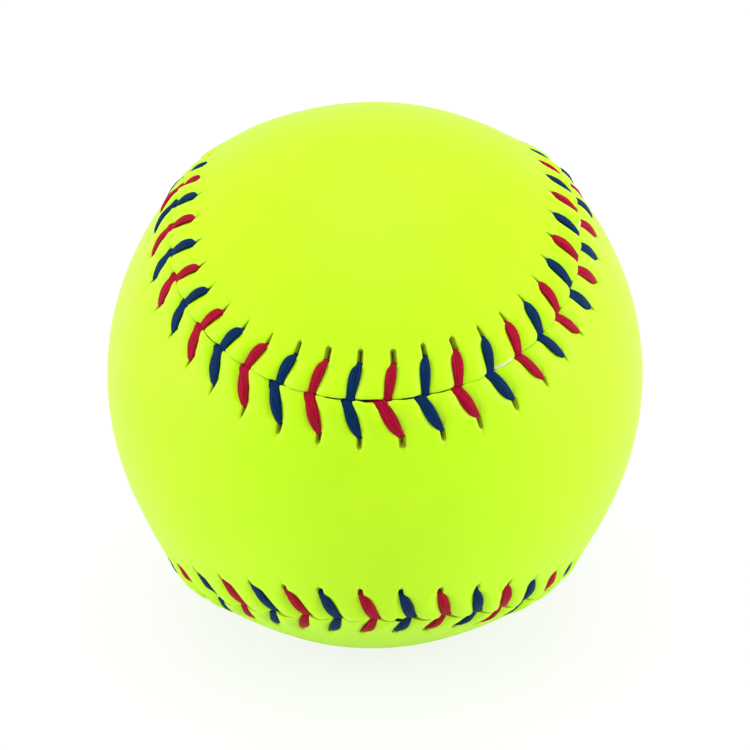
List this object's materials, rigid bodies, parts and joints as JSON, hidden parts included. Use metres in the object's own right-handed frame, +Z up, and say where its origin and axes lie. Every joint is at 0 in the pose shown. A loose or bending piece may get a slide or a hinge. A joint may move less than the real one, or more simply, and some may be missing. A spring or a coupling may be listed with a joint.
{
  "type": "softball",
  "caption": "Optic-yellow leather softball with raised figure-of-eight seams sewn in alternate red and navy thread over a wound core.",
  "frame": {"origin": "the centre of the ball", "axes": "+Z up through the round end of the upper panel, -Y through the middle of the front panel's waist, +X to the right seen from the front"},
  "size_m": [0.097, 0.097, 0.097],
  "materials": {
    "core": "pressed long-fibre kapok",
    "yarn": "cotton and polyester yarn, wound tight",
    "latex": "dipped latex, matt and slightly tacky",
    "leather": "dyed optic-yellow leather, fine grain, soft sheen",
    "red_thread": "waxed plied thread, crimson",
    "blue_thread": "waxed plied thread, navy"
  },
  "bodies": {
    "root": {"kapok_core": "core", "yarn_winding": "yarn", "latex_coat": "latex", "cover_panel_upper": "leather", "cover_panel_front": "leather", "red_thread_1": "red_thread", "red_thread_2": "red_thread", "blue_thread_1": "blue_thread", "blue_thread_2": "blue_thread"}
  },
  "joints": []
}
